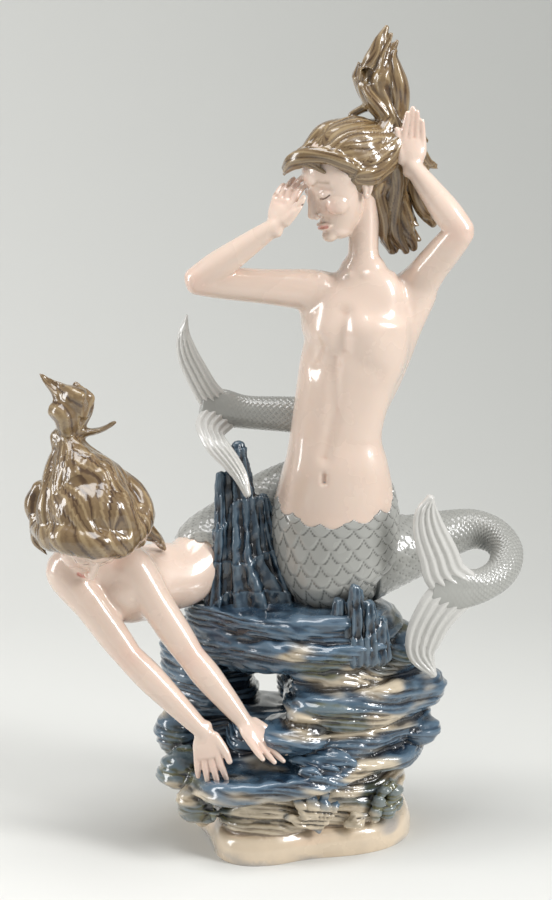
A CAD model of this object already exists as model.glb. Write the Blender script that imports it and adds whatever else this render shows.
"""The looks of a glazed porcelain figurine: one mermaid seated on a tall rock with her arms raised to her
hair, and a second who leans out from behind the rock with both hands on a ledge.

Places and sizes are in millimetres until MM turns them into metres. +X is to the viewer's right, +Y away
from the viewer, and +Z up. The origin is on the underside, in the middle of the foot.
"""

import math

import bpy
import numpy as np
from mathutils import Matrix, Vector
from mathutils.bvhtree import BVHTree


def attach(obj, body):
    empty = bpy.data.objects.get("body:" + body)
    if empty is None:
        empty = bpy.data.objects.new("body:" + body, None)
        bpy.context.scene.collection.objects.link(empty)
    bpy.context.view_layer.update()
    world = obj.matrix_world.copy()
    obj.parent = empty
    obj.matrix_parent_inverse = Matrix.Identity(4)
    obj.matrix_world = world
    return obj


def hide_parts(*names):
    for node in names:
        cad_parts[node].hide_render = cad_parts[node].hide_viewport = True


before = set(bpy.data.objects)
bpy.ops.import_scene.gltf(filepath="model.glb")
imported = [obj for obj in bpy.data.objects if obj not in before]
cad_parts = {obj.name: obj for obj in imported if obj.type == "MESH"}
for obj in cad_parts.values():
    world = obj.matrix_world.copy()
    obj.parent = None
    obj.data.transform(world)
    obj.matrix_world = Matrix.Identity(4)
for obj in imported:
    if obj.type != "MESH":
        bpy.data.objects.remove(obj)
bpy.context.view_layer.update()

MM = 0.001
UP = np.array([0.0, 0.0, 1.0])


# The rock
# A crag pressed from white clay in a plaster mould: a smooth foot, a plinth, a ledge, layered strata and a
# seat. It is painted blue, cream and olive under one clear glaze, which runs off the ridges and pools
# darker in the hollows.

SEAT_TOP = 153.0
SEAT_THICKNESS = 36.0
PLINTH_TOP = 50.0
FOOT_RIM_TOP = 17.0
LEDGE_TOP = 58.0
LEDGE_THICKNESS = 14.0
LOWER_STRATUM_TOP = 76.0
MIDDLE_STRATUM_TOP = 96.0
SHOULDER_TOP = 126.0
FOOT_HALF_WIDTH = 80.0
PART_OF_FOOT = FOOT_HALF_WIDTH / 100
STRATUM_ROUNDING = 7.0
LAP = 2.0
RIM_STRAY = 3.0
LAYER_HEIGHT = 11.0
LAYER_TILT = 0.12
STRATUM_RELIEF = 2.2
FINE_LINE_SPACING = 3.3
ROCK_GRID = 1.0
ROCK_TRIANGLES = 150000

# A stratum's rim from its bottom to its top: a level as a share of its thickness, and how far in the rim
# lies there, as a share of the rounding.
STRATUM_RIM = ((0, 1), (0.06, 0.57), (0.14, 0.29), (0.3, 0.04), (0.5, 0), (0.7, 0.03), (0.86, 0.23),
               (0.95, 0.5), (1, 0.86))

# Plans and places across the rock are in hundredths of the foot's half width.
FOOT_OUTLINE = [(-52, -75), (-28, -75), (2, -62), (38, -54), (62, -41), (80, -18), (86, 12), (78, 55),
                (42, 80), (-25, 85), (-80, 82), (-102, 60), (-92, 25), (-78, -18), (-69, -58)]
LEDGE_OUTLINE = [(-78, -75), (-42, -88), (0, -78), (42, -58), (78, -32), (90, 5), (75, 50), (25, 70),
                 (-50, 72), (-102, 55), (-105, 10), (-98, -42)]
SHOULDER_OUTLINE = [(-12, -50), (25, -58), (62, -45), (92, -18), (110, 8), (105, 35), (80, 60), (38, 72),
                    (-5, 72), (-18, 38), (-15, -8)]
SEAT_OUTLINE = [(-52, -38), (-12, -50), (28, -50), (60, -35), (75, -8), (70, 35), (42, 62), (0, 70),
                (-48, 68), (-92, 45), (-100, 10), (-82, -18)]
BACK_WALL_OUTLINE = [(-105, 15), (-78, 8), (-47, 18), (-42, 42), (-47, 68), (-78, 75), (-108, 60),
                     (-115, 35)]
HOLE_SILL_OUTLINE = [(-58, -5), (-32, -12), (-8, -5), (0, 25), (-12, 55), (-42, 58), (-58, 30)]

# A boulder is its place, its height in millimetres, and its three radii in hundredths as well.
BOULDERS = [((70, 8), SHOULDER_TOP - LAP, (25, 32, 19)),
            ((2, -48), MIDDLE_STRATUM_TOP - 2 * LAP, (19, 15, 10)),
            ((-12, -42), LOWER_STRATUM_TOP + LAP, (32, 28, 15)),
            ((-98, -18), PLINTH_TOP - 2 * LAP, (20, 22, 18)),
            ((-105, 18), LEDGE_TOP + 2 * LAP, (18, 25, 20)),
            ((-88, -48), PLINTH_TOP - 8 * LAP, (15, 18, 15)),
            ((88, 2), LOWER_STRATUM_TOP - 3 * LAP, (22, 25, 11))]

# All of these are in millimetres. A dab of colour is its middle, how far it reaches each way and how thick
# it lies, a frond is its root, its tip and its half width, and a polyp is its middle and its radius.
CREAM_DABS = [((-7, -36, 130), (9, 14, 6), 1.0), ((20, -40, 114), (24, 20, 8), 1.0),
              ((48, -30, 110), (26, 22, 10), 1.1), ((0, -44, 90), (22, 20, 8), 1.0),
              ((36, -40, 84), (34, 28, 9), 1.2), ((70, 4, 100), (14, 26, 9), 0.9),
              ((0, 0, 22), (300, 300, 24), 1.3), ((44, -40, 56), (26, 20, 7), 1.1),
              ((20, 54, 110), (36, 20, 9), 1.0), ((-60, 56, 84), (30, 20, 12), 0.9),
              ((30, 54, 74), (50, 20, 10), 1.1), ((-90, 30, 80), (14, 30, 8), 0.8)]
OLIVE_DABS = [((15, -40, 126), (16, 14, 6), 1.1), ((6, -46, 118), (16, 14, 6), 1.1),
              ((57, -20, 120), (16, 18, 6), 1.0), ((58, 10, 140), (18, 20, 12), 1.3),
              ((14, -50, 98), (14, 14, 6), 1.0), ((24, -40, 90), (18, 18, 8), 1.1),
              ((-80, -14, 50), (20, 20, 20), 1.4), ((-62, -40, 34), (18, 18, 18), 1.2),
              ((52, -30, 32), (15, 15, 16), 1.6), ((-30, 50, 100), (40, 24, 9), 1.0),
              ((10, 50, 134), (40, 24, 7), 1.0), ((-50, -54, 44), (16, 12, 5), 1.0)]
SHADE_DABS = [((-30, 0, 92), (34, 26, 26), 1.3), ((-60, 0, 80), (20, 20, 30), 1.0),
              ((-8, -52, 50), (14, 8, 10), 0.9), ((-62, -30, 112), (20, 20, 10), 0.9),
              ((-4, -20, 90), (10, 20, 16), 1.2)]
FRONDS = [((-8, -46, 64), (20, -52, 59), 5.5), ((2, -44, 68), (30, -46, 63), 5.0),
          ((-4, -54, 60), (12, -58, 57), 4.0), ((8, -50, 18), (-6, -54, 42), 4.5),
          ((8, -50, 18), (2, -54, 46), 4.0), ((8, -50, 18), (12, -52, 44), 4.5),
          ((8, -50, 18), (20, -48, 38), 4.0), ((26, -43, 20), (38, -42, 27), 6.0),
          ((6, -50, 20), (-12, -55, 30), 3.5)]
POLYPS = [((52, -29, 26), 5), ((46, -34, 32), 4.5), ((55, -27, 36), 5), ((49, -32, 41), 4),
          ((58, -23, 29), 4.5), ((44, -36, 25), 3.5), ((54, -29, 44), 3.5), ((-60, -46, 40), 5),
          ((-68, -36, 47), 5.5), ((-74, -24, 40), 6), ((-62, -40, 26), 5), ((-66, -30, 20), 5),
          ((-78, -10, 56), 6), ((-58, -50, 30), 4)]


def smooth(rows, steps, closed=False):
    """Rows of numbers along a smooth curve through the given rows."""
    rows = np.asarray(rows, float)
    if closed:
        ends = np.vstack([rows[-1:], rows, rows[:2]])
    else:
        ends = np.vstack([2 * rows[:1] - rows[1:2], rows, 2 * rows[-1:] - rows[-2:-1]])
    t = np.arange(steps)[:, None] / steps
    parts = []
    for a, b, c, d in zip(ends, ends[1:], ends[2:], ends[3:]):
        square = (2 * a - 5 * b + 4 * c - d) * t ** 2
        cube = (3 * b - a - 3 * c + d) * t ** 3
        parts.append((2 * b + (c - a) * t + square + cube) / 2)
    if not closed:
        parts.append(rows[-1:])
    return np.vstack(parts)


def unit(rows):
    """The same directions with a length of one."""
    rows = np.asarray(rows, float)
    return rows / np.maximum(np.linalg.norm(rows, axis=-1, keepdims=True), 1e-9)


def spine(stations, across=(1, 0, 0), steps=10):
    """Rows along a smooth curve through stations: place, half width, half depth and the way across. A
    station is (place, half width, half depth), with an across of its own where the tube twists."""
    rows = [[*s[0], s[1], s[2], *(s[3] if len(s) > 3 else across)] for s in stations]
    return smooth(rows, steps)


def rings_of(rows, sides=48, round_ends=True, strands=0, strand_depth=0.0, ribs=0, rib_depth=0.0):
    """Rings of points round an oval tube along a spine. Strands are grooves that run along the tube all
    round it, and ribs are folds that run along its two flat sides."""
    centres = rows[:, :3]
    ahead = unit(np.gradient(centres, axis=0))
    wide = unit(rows[:, 5:8] - ahead * np.sum(rows[:, 5:8] * ahead, axis=1, keepdims=True))
    deep = np.cross(ahead, wide)
    half = np.maximum(rows[:, 3:5], 0.4)
    if round_ends:
        turns = np.radians((84, 72, 60, 48, 36, 24, 12))
        caps = []
        for end, way, turned in ((0, -1, turns), (-1, 1, turns[::-1])):
            reach = 0.8 * half[end].min() * np.sin(turned)
            caps.append((centres[end] + ahead[end] * (way * reach)[:, None],
                         np.tile(wide[end], (len(turned), 1)), np.tile(deep[end], (len(turned), 1)),
                         half[end] * np.cos(turned)[:, None]))
        body = (centres, wide, deep, half)
        centres, wide, deep, half = [np.vstack([caps[0][i], body[i], caps[1][i]]) for i in range(4)]
    angle = np.arange(sides) * (math.tau / sides)
    swell = 1 - strand_depth * (0.5 - 0.5 * np.cos(angle * strands))
    fold = 1 + rib_depth * np.cos(math.pi * ribs * np.cos(angle))
    return (centres[:, None] + wide[:, None] * (half[:, :1] * np.cos(angle) * swell)[..., None]
            + deep[:, None] * (half[:, 1:] * np.sin(angle) * swell * fold)[..., None])


def mesh_of(name, places, faces):
    """A new object from places in millimetres, shaded smooth, at the origin."""
    mesh = bpy.data.meshes.new(name)
    mesh.from_pydata((np.asarray(places) * MM).tolist(), [], faces)
    mesh.update()
    mesh.shade_smooth()
    made = bpy.data.objects.new(name, mesh)
    bpy.context.scene.collection.objects.link(made)
    return made


def bake_modifiers(made):
    """Replace an object's mesh by the one its modifiers give."""
    graph = bpy.context.evaluated_depsgraph_get()
    result = bpy.data.meshes.new_from_object(made.evaluated_get(graph))
    made.modifiers.clear()
    made.data = result
    made.data.shade_smooth()


class Clay:
    """Closed shells of clay that are pressed into one another, and then fused into one skin."""

    def __init__(self):
        self.places = []
        self.faces = []
        self.count = 0

    def stack(self, rings):
        """Add one shell: rings of points joined one to the next, and closed at both ends."""
        rows, sides, _ = rings.shape
        index = np.arange(rows * sides).reshape(rows, sides) + self.count
        beside = np.roll(index, -1, axis=1)
        quads = np.stack([index[:-1], beside[:-1], beside[1:], index[1:]], -1).reshape(-1, 4)
        self.faces += quads.tolist() + [index[0][::-1].tolist(), index[-1].tolist()]
        self.places.append(rings.reshape(-1, 3))
        self.count += rows * sides

    def tube(self, stations, across=(1, 0, 0), steps=10, **detail):
        self.stack(rings_of(spine(stations, across, steps), **detail))

    def ball(self, centre, radii, axes=None, sides=40):
        """An oval ball, its radii along the given axes."""
        axes = np.asarray(axes if axes is not None else np.eye(3), float)
        tilt = np.linspace(-math.pi / 2, math.pi / 2, sides // 2)[1:-1]
        angle = np.arange(sides) * (2 * math.pi / sides)
        rings = np.stack([np.outer(np.cos(tilt), np.cos(angle)), np.outer(np.cos(tilt), np.sin(angle)),
                          np.outer(np.sin(tilt), np.ones(sides))], -1)
        if np.linalg.det(axes) < 0:
            rings = rings[:, ::-1]
        self.stack(np.asarray(centre) + (rings * radii) @ axes)

    def slab(self, outline, bottom, top, seed, stray=1.0, tilt=0.0):
        """A stratum of rock: a closed outline with a rounded rim, which strays by this much of the usual."""
        around = smooth(outline, 14, closed=True)
        middle = around.mean(axis=0)
        outward = unit(around - middle)
        rings = []
        for level, inset in STRATUM_RIM:
            flat = around - outward * (inset * STRATUM_ROUNDING)
            height = bottom + (top - bottom) * level + tilt * (flat[:, 0] - middle[0])
            wave = wobble(np.column_stack([flat, 1.8 * height]), 46, seed)
            rings.append(np.column_stack([flat + outward * (wave * stray * RIM_STRAY)[:, None], height]))
        self.stack(np.array(rings))

    def fuse(self, name, grid, ease):
        """Fuse the shells on a grid into one closed skin, and ease its creases."""
        made = mesh_of(name, np.vstack(self.places), self.faces)
        remesh = made.modifiers.new("fuse", "REMESH")
        remesh.mode = "VOXEL"
        remesh.voxel_size = grid * MM
        soften = made.modifiers.new("ease", "SMOOTH")
        soften.factor = 0.5
        soften.iterations = ease
        bake_modifiers(made)
        return made


def wobble(places, size, seed):
    """Smooth noise from -1 to 1, with lumps about the given size, from waves in seeded directions."""
    random = np.random.default_rng(seed)
    total = np.zeros(len(places))
    for _ in range(10):
        way = unit(random.normal(size=3)) * (math.tau / size) * random.uniform(0.55, 1.2)
        total += np.sin(places @ way + random.uniform(0, math.tau))
    return np.tanh(total / 3)


def soft_step(low, high, values):
    """Nought below low, one above high, and smooth between."""
    share = np.clip((values - low) / (high - low), 0, 1)
    return share * share * (3 - 2 * share)


class Surface:
    """The surface of a fused object as arrays, to be worked by hand and then set back."""

    def __init__(self, made):
        self.made = made
        self.read()

    def read(self):
        mesh = self.made.data
        count = len(mesh.vertices)
        self.places = np.empty(count * 3)
        mesh.vertices.foreach_get("co", self.places)
        self.places = self.places.reshape(-1, 3) / MM
        self.normals = np.empty(count * 3)
        mesh.vertex_normals.foreach_get("vector", self.normals)
        self.normals = self.normals.reshape(-1, 3)
        self.tree = None

    def write(self):
        mesh = self.made.data
        mesh.vertices.foreach_set("co", (self.places * MM).ravel())
        mesh.update()

    def settle(self):
        """Write the worked surface back, and read its new normals."""
        self.write()
        self.read()

    def skin_at(self, inside, way, reach=150):
        """The place where a line from inside the body leaves its skin for the last time within a reach."""
        if self.tree is None:
            faces = [tuple(face.vertices) for face in self.made.data.polygons]
            self.tree = BVHTree.FromPolygons(self.places.tolist(), faces)
        far = Vector(inside) + Vector(unit(way)) * reach
        hit, _, _, _ = self.tree.ray_cast(far, -Vector(unit(way)))
        return np.array(hit)

    def near(self, points, width):
        """How near each place is to a line of points: one on it, falling to nought over the width."""
        points = np.atleast_2d(np.asarray(points, float))
        closest = np.full(len(self.places), 1e9)
        if len(points) == 1:
            closest = np.linalg.norm(self.places - points[0], axis=1)
        for a, b in zip(points, points[1:]):
            along = b - a
            share = np.clip((self.places - a) @ along / max(along @ along, 1e-9), 0, 1)
            closest = np.minimum(closest, np.linalg.norm(self.places - a - share[:, None] * along, axis=1))
        return np.exp(-(closest / width) ** 2 * 2.2)

    def work(self, points, width, amount, way=None):
        """Raise the surface along a line or round a place, or sink it where the amount is negative."""
        lift = (self.near(points, width) * amount)[:, None]
        self.places += lift * (self.normals if way is None else np.asarray(way))

    def thin(self, triangles):
        """Write the surface back, and thin its mesh to a number of triangles where it has more."""
        self.write()
        have = 2 * len(self.made.data.polygons)
        if have > triangles:
            fewer = self.made.modifiers.new("thin", "DECIMATE")
            fewer.ratio = triangles / have
            bake_modifiers(self.made)
        self.read()

    def keep(self, name, values):
        """Store a value for each corner of the mesh, for its material to read."""
        store = self.made.data.attributes.new(name, "FLOAT", "POINT")
        store.data.foreach_set("value", np.asarray(values, dtype=np.float32))

    def links(self):
        """The two ends of every edge."""
        ends = np.empty(len(self.made.data.edges) * 2, dtype=np.int32)
        self.made.data.edges.foreach_get("vertices", ends)
        return ends[::2], ends[1::2]

    def ease(self, points, width, passes=60):
        """Smooth away the joint between two shells, near a line of points."""
        share = self.near(points, width)
        a, b = self.links()
        chosen = share > 0.02
        kept = chosen[a] | chosen[b]
        a, b = a[kept], b[kept]
        some = np.unique(np.concatenate([a, b]))
        a, b = np.searchsorted(some, a), np.searchsorted(some, b)
        places, pull = self.places[some], (share[some] * chosen[some])[:, None]
        for _ in range(passes):
            places = places + (neighbour_mean(places, a, b) - places) * pull * 0.8
        self.places[some] = places

    def hollows(self, passes=10, depth=0.5):
        """Store how deep each corner lies below its neighbours: a half is level, one is deep."""
        a, b = self.links()
        mean = self.places.copy()
        for _ in range(passes):
            mean = (mean + neighbour_mean(mean, a, b)) / 2
        below = np.sum((mean - self.places) * self.normals, axis=1)
        self.keep("hollow", np.clip(0.5 + below / (2 * depth), 0, 1))


def neighbour_mean(places, a, b):
    """The middle of each corner's neighbours, over edges from a to b."""
    count = len(places)
    share = np.maximum(np.bincount(a, minlength=count) + np.bincount(b, minlength=count), 1)[:, None]
    return np.column_stack([np.bincount(a, places[b, i], count) + np.bincount(b, places[a, i], count)
                            for i in range(3)]) / share


def plan(outline, amount=0.0, shift=(0.0, 0.0)):
    """An outline grown outwards from its middle and moved, then turned from hundredths to millimetres."""
    outline = np.asarray(outline, float)
    return (outline + unit(outline - outline.mean(axis=0)) * amount + shift) * PART_OF_FOOT


def node(tree, kind, inputs=None, **settings):
    """Add a node with its settings and inputs. An input is a number, a colour or another node's output."""
    made = tree.nodes.new(kind)
    for name, value in settings.items():
        setattr(made, name, value)
    for name, value in (inputs or {}).items():
        if isinstance(value, bpy.types.NodeSocket):
            tree.links.new(value, made.inputs[name])
        else:
            made.inputs[name].default_value = value
    return made


def calc(tree, operation, *values):
    """The output of a maths node."""
    made = node(tree, "ShaderNodeMath", dict(enumerate(values)), operation=operation)
    return made.outputs[0]


def blend_colour(tree, share, low, high):
    """The output of a node that mixes two colours."""
    made = node(tree, "ShaderNodeMix", data_type="RGBA")
    for socket, value in ((0, share), (6, low), (7, high)):
        if isinstance(value, bpy.types.NodeSocket):
            tree.links.new(value, made.inputs[socket])
        else:
            made.inputs[socket].default_value = value if socket == 0 else (*value, 1.0)[:4]
    return made.outputs[2]


def ramp(tree, share, low, high):
    """Nought below low and one above high, read from an output."""
    made = node(tree, "ShaderNodeMapRange", {"Value": share, "From Min": low, "From Max": high},
                interpolation_type="SMOOTHSTEP")
    return made.outputs["Result"]


def make_pooled_glaze():
    """A group for every glaze: its colour deepens in the hollows, pales on the ridges, and mottles."""
    group = bpy.data.node_groups.new("pooled_glaze", "ShaderNodeTree")
    for name, kind, value in (("Ground", "NodeSocketColor", (1, 1, 1, 1)),
                              ("Pooled", "NodeSocketColor", (0, 0, 0, 1)),
                              ("Ridge", "NodeSocketColor", (1, 1, 1, 1)),
                              ("Pooling", "NodeSocketFloat", 1.0), ("Baring", "NodeSocketFloat", 0.3),
                              ("Mottle", "NodeSocketFloat", 0.05)):
        group.interface.new_socket(name, in_out="INPUT", socket_type=kind).default_value = value
    for name, kind in (("Color", "NodeSocketColor"), ("Roughness", "NodeSocketFloat"),
                       ("Height", "NodeSocketFloat")):
        group.interface.new_socket(name, in_out="OUTPUT", socket_type=kind)
    given = group.nodes.new("NodeGroupInput").outputs
    given_out = group.nodes.new("NodeGroupOutput").inputs
    hollow = node(group, "ShaderNodeAttribute", attribute_name="hollow").outputs["Fac"]
    place = node(group, "ShaderNodeTexCoord").outputs["Object"]
    clouds = node(group, "ShaderNodeTexNoise", {"Vector": place, "Scale": 45.0, "Detail": 3.0}).outputs[0]
    ripple = node(group, "ShaderNodeTexNoise", {"Vector": place, "Scale": 160.0, "Detail": 1.0}).outputs[0]
    pooled = calc(group, "MULTIPLY", ramp(group, hollow, 0.52, 0.95), given["Pooling"])
    bared = calc(group, "MULTIPLY", ramp(group, hollow, 0.48, 0.1), given["Baring"])
    colour = blend_colour(group, pooled, given["Ground"], given["Pooled"])
    colour = blend_colour(group, bared, colour, given["Ridge"])
    lift = calc(group, "MULTIPLY_ADD", calc(group, "SUBTRACT", clouds, 0.5), given["Mottle"], 1.0)
    tone = node(group, "ShaderNodeHueSaturation", {"Color": colour, "Value": lift})
    group.links.new(tone.outputs[0], given_out["Color"])
    rough = calc(group, "MULTIPLY_ADD", clouds, 0.10, 0.22)
    group.links.new(rough, given_out["Roughness"])
    group.links.new(ripple, given_out["Height"])
    return group


POOLED_GLAZE = make_pooled_glaze()


def glazed(name, ground, pooled, ridge, pooling=0.9, baring=0.3, mottle=0.1, colour=None, scatter=0.0):
    """Porcelain under a clear glaze. Colour may change the ground through nodes of its own."""
    made = bpy.data.materials.new(name)
    made.use_nodes = True
    tree = made.node_tree
    shader = tree.nodes["Principled BSDF"]
    group = node(tree, "ShaderNodeGroup", node_tree=POOLED_GLAZE)
    sockets = {"Ground": ground, "Pooled": pooled, "Ridge": ridge}
    if colour:
        sockets.update(colour(tree, sockets))
    for key, value in sockets.items():
        if isinstance(value, bpy.types.NodeSocket):
            tree.links.new(value, group.inputs[key])
        else:
            group.inputs[key].default_value = (*value, 1.0)
    group.inputs["Pooling"].default_value = pooling
    group.inputs["Baring"].default_value = baring
    group.inputs["Mottle"].default_value = mottle
    tree.links.new(group.outputs["Color"], shader.inputs["Base Color"])
    tree.links.new(group.outputs["Roughness"], shader.inputs["Roughness"])
    bump = node(tree, "ShaderNodeBump", {"Height": group.outputs["Height"], "Strength": 0.06,
                                         "Distance": 0.0004})
    tree.links.new(bump.outputs[0], shader.inputs["Normal"])
    shader.inputs["Coat Weight"].default_value = 1.0
    shader.inputs["Coat Roughness"].default_value = 0.03
    shader.inputs["Coat IOR"].default_value = 1.52
    shader.inputs["Subsurface Weight"].default_value = scatter
    shader.inputs["Subsurface Radius"].default_value = (1.0, 0.5, 0.3)
    shader.inputs["Subsurface Scale"].default_value = 0.003
    return made


def finish_piece(made, material):
    """Give a piece its finish, and set it in the figurine's frame."""
    made.data.materials.clear()
    made.data.materials.append(material)
    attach(made, "root")
    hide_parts("figurine")


def height_in_strata(face):
    """How high each place of the rock lies, counted along its tilted and warped strata."""
    return face.places[:, 2] + LAYER_TILT * face.places[:, 0] + 6 * wobble(face.places, 95, 21)


def make_rock():
    clay = Clay()
    clay.slab(plan(FOOT_OUTLINE), -4 * LAP, FOOT_RIM_TOP, 1, 0.13)
    clay.slab(plan(FOOT_OUTLINE, -8), FOOT_RIM_TOP - 4 * LAP, PLINTH_TOP, 2)
    clay.slab(plan(LEDGE_OUTLINE), LEDGE_TOP - LEDGE_THICKNESS, LEDGE_TOP, 3, tilt=0.08)
    clay.slab(plan(SHOULDER_OUTLINE, -11), LEDGE_TOP - 3 * LAP, LOWER_STRATUM_TOP + 4 * LAP, 4, 1.33)
    clay.slab(plan(SHOULDER_OUTLINE, -5, (0, -2)), LOWER_STRATUM_TOP - 7 * LAP,
              LOWER_STRATUM_TOP + 2.5 * LAP, 5, 1.33)
    clay.slab(plan(SHOULDER_OUTLINE), LOWER_STRATUM_TOP + 3 * LAP, MIDDLE_STRATUM_TOP + 6 * LAP, 6)
    clay.slab(plan(SHOULDER_OUTLINE, -11, (-8, 2)), MIDDLE_STRATUM_TOP, SHOULDER_TOP, 12)
    clay.slab(plan(BACK_WALL_OUTLINE), LEDGE_TOP - 5 * LAP, SHOULDER_TOP + 3 * LAP, 7, 1.33)
    clay.slab(plan(HOLE_SILL_OUTLINE), LEDGE_TOP - 5 * LAP, MIDDLE_STRATUM_TOP - 7 * LAP, 10, 0.67)
    clay.slab(plan(SEAT_OUTLINE), SEAT_TOP - SEAT_THICKNESS, SEAT_TOP - 0.44 * SEAT_THICKNESS, 8)
    clay.slab(plan(SEAT_OUTLINE, -4), SEAT_TOP - 0.56 * SEAT_THICKNESS, SEAT_TOP, 9)
    for (x, y), height, radii in BOULDERS:
        clay.ball((x * PART_OF_FOOT, y * PART_OF_FOOT, height), np.array(radii) * PART_OF_FOOT)
    for root, tip, wide in FRONDS:
        root, tip = np.array(root, float), np.array(tip, float)
        middle = (root + tip) / 2 + (0, -1.5, 1.5)
        clay.tube([(root, 0.3 * wide, 2), (middle, wide, 2.6), (tip, 0.3 * wide, 1.6)],
                  np.cross(tip - root, (0, -0.7, 0.7)), sides=80, ribs=3, rib_depth=0.3)
    for centre, radius in POLYPS:
        clay.ball(centre, (radius, radius, radius * 1.2), sides=24)
    made = clay.fuse("rock", ROCK_GRID, 3)
    face = Surface(made)
    steep = soft_step(0.15, 0.8, 1 - np.abs(face.normals[:, 2]))
    above_foot = soft_step(FOOT_RIM_TOP - 3, FOOT_RIM_TOP + 5, face.places[:, 2])
    long = face.places * (1, 1, 2.6)
    warped = height_in_strata(face)
    layer = (warped / LAYER_HEIGHT) % 1.0
    ledge = np.sin(math.pi * layer ** 0.6) - 0.6
    lines = np.sin(warped * (math.tau / FINE_LINE_SPACING) + 1.6 * wobble(face.places, 30, 23))
    lift = STRATUM_RELIEF * ledge * (0.6 + 0.4 * wobble(long, 60, 24)) * steep + 2.0 * wobble(long, 44, 25)
    lift += lines * (0.42 + 0.3 * wobble(long, 40, 27)) * (0.25 + 0.75 * steep) + 0.55 * wobble(long, 13, 26)
    face.places += face.normals * (lift * above_foot)[:, None]
    face.places[:, 2] = np.maximum(face.places[:, 2], 0.0)
    face.thin(ROCK_TRIANGLES)
    paint_rock(face)
    face.hollows(14, 0.6)
    return made


def paint_rock(face):
    """Where the rock is olive, cream or shaded, in streaks that follow its strata. Cream keeps off the
    fronds, and off what is olive."""
    along = np.column_stack([face.places[:, :2], 5.0 * height_in_strata(face)])
    streaks = 0.5 * wobble(along, 55, 71) + 0.35 * wobble(along, 24, 72)
    fronds = np.zeros(len(along))
    for root, tip, wide in FRONDS:
        fronds = np.maximum(fronds, face.near([root, tip], 1.1 * wide))

    def painted(dabs, streaked, kept_bare=0.0):
        """How thick a colour lies: its dabs, broken up by the streaks."""
        paint = np.zeros(len(along))
        for middle, reach, thick in dabs:
            off = (face.places - middle) / reach
            paint = np.maximum(paint, 1.12 * thick * np.exp(-np.sum(off * off, axis=1)))
        return soft_step(0.3, 0.85, paint + streaked * streaks - kept_bare)

    olive = painted(OLIVE_DABS, -0.6)
    face.keep("olive", olive)
    face.keep("cream", painted(CREAM_DABS, 0.6, 0.9 * fronds) * (1 - 0.9 * olive))
    face.keep("shade", painted(SHADE_DABS, -0.6))


def rock_colours(tree, sockets):
    """Blue, with streaks of cream and olive that follow the strata, and a bare foot."""
    place = node(tree, "ShaderNodeTexCoord").outputs["Object"]
    streaked = node(tree, "ShaderNodeMapping", {"Vector": place, "Scale": (30.0, 30.0, 190.0)}).outputs[0]
    streaks = node(tree, "ShaderNodeTexNoise", {"Vector": streaked, "Scale": 1.0, "Detail": 4.0}).outputs[0]
    patches = node(tree, "ShaderNodeTexNoise", {"Vector": place, "Scale": 30.0, "Detail": 2.0}).outputs[0]
    high = node(tree, "ShaderNodeSeparateXYZ", {"Vector": place}).outputs[2]
    cream = node(tree, "ShaderNodeAttribute", attribute_name="cream").outputs["Fac"]
    olive = node(tree, "ShaderNodeAttribute", attribute_name="olive").outputs["Fac"]
    drawn = ramp(tree, streaks, 0.35, 0.65)
    blues = blend_colour(tree, drawn, (0.012, 0.030, 0.058), (0.050, 0.098, 0.150))
    creams = blend_colour(tree, drawn, (0.26, 0.20, 0.125), (0.64, 0.54, 0.40))
    olives = blend_colour(tree, ramp(tree, patches, 0.4, 0.6), (0.055, 0.060, 0.028), (0.17, 0.16, 0.06))
    ground = blend_colour(tree, cream, blues, creams)
    ground = blend_colour(tree, calc(tree, "MULTIPLY", olive, 0.85), ground, olives)
    dark = node(tree, "ShaderNodeAttribute", attribute_name="shade").outputs["Fac"]
    ground = blend_colour(tree, calc(tree, "MULTIPLY", dark, 0.8), ground, (0.004, 0.010, 0.020))
    foot = ramp(tree, high, 0.022, 0.012)
    ground = blend_colour(tree, foot, ground, (0.80, 0.62, 0.455))
    deep = blend_colour(tree, cream, (0.002, 0.006, 0.014), (0.060, 0.045, 0.026))
    deep = blend_colour(tree, foot, deep, (0.58, 0.43, 0.30))
    ridge = blend_colour(tree, cream, (0.14, 0.22, 0.30), (0.68, 0.58, 0.43))
    return {"Ground": ground, "Pooled": deep, "Ridge": ridge}


finish_piece(make_rock(), glazed("rock_glaze", (1, 1, 1), (0, 0, 0), (1, 1, 1), 0.95, 0.55, 0.4,
                                 rock_colours))


# The tall spire, its side spire and the fluted coral
# Fluted columns of clay, rolled by hand and luted behind the leaning mermaid, and a low clump of coral
# fingers at the right. Both are blue under the glaze, nearly black in the flutes.

SPIRE_TOP = 258.0
SIDE_SPIRE_TOP = 240.0
CORAL_TOP = 177.0
CORAL_FINGER_RADIUS = 6.2
STEP_HEIGHT = 30.0
SPIRE_GRID = 0.8
SPIRE_TRIANGLES = 60000

# A spire's station is a place, a level as a share of the spire's rise, a half width and a half depth.
SPIRES = [(SPIRE_TOP, [(-54, 15, 0.965, 6, 6), (-54, 15, 0.86, 10, 9), (-50, 15, 0.66, 14, 12),
                       (-48, 12, 0.42, 20, 18), (-40, 10, 0.2, 34, 22), (-38, 10, 0, 40, 28)]),
          (SPIRE_TOP, [(-35, 18, 0.72, 5, 6), (-30, 18, 0.5, 10, 11), (-18, 15, 0.25, 20, 18),
                       (-10, 10, 0, 30, 30)]),
          (SIDE_SPIRE_TOP, [(-68, 11, 0.965, 4, 5), (-68, 11, 0.7, 6, 8), (-70, 9, 0.4, 9, 10),
                            (-72, 5, 0, 16, 15)])]

# A coral finger is its place across the rock and how far its tip lies below the highest one.
CORAL_FINGERS = ((25, -34, 9), (38, -38, 0), (49, -36, 10), (58, -31, 21), (39, -28, 4))


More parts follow.
